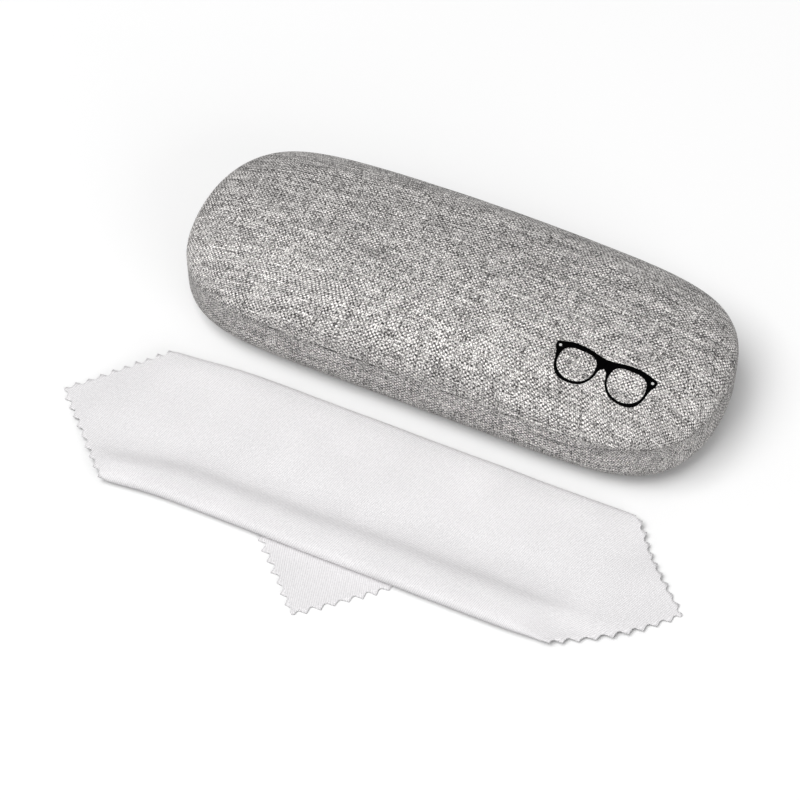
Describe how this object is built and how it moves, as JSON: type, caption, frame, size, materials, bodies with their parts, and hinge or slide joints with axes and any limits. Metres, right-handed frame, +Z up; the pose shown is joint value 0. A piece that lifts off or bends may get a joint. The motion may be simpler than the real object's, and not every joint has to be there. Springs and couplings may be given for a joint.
{
  "type": "glasses case with cleaning cloth",
  "caption": "Hard clamshell glasses case in linen-look fabric with a sprung back hinge, a dark moulded lining and a folded cleaning cloth.",
  "frame": {"origin": "middle of the case's flat underside, on the surface it rests on", "axes": "+X along the case, -Y towards the side that opens (the cloth lies there), +Y towards the hinge, +Z up"},
  "size_m": [0.1852, 0.1366, 0.0334],
  "materials": {
    "linen_fabric": "grey melange plain weave, matt",
    "foam_sheet": "soft closed-cell foam sheet",
    "steel_sheet": "pressed mild steel, dull",
    "flocked_lining": "black flocking on a moulded tray",
    "hinge_steel": "zinc-plated steel",
    "lining_tape": "black woven tape",
    "microfibre": "white fine-knit microfibre with pinked edges"
  },
  "bodies": {
    "base": {"base_cover": "linen_fabric", "base_foam": "foam_sheet", "base_shell": "steel_sheet", "base_lining": "flocked_lining", "base_hinge_leaf": "hinge_steel", "base_leaf_rivets": "hinge_steel", "hinge_pin": "hinge_steel", "left_snap_spring": "hinge_steel", "right_snap_spring": "hinge_steel", "spring_rivets": "hinge_steel", "spine_tape": "linen_fabric", "inner_hinge_tape": "lining_tape"},
    "lid": {"lid_cover": "linen_fabric", "lid_foam": "foam_sheet", "lid_shell": "steel_sheet", "lid_lining": "flocked_lining", "lid_hinge_leaf": "hinge_steel", "lid_leaf_rivets": "hinge_steel"},
    "cloth": {"cleaning_cloth": "microfibre"}
  },
  "joints": [
    {"name": "lid_hinge", "type": "hinge", "parent": "base", "child": "lid", "pos_m": [0, 0.0306, 0.0184], "axis": [-1, 0, 0], "range_deg": [0, 105], "deforming": ["spine_tape", "inner_hinge_tape", "left_snap_spring", "right_snap_spring"]},
    {"name": "cloth_slide", "type": "slide", "parent": "base", "child": "cloth", "axis": [0, -1, 0], "range_m": [0, 0.04]}
  ]
}
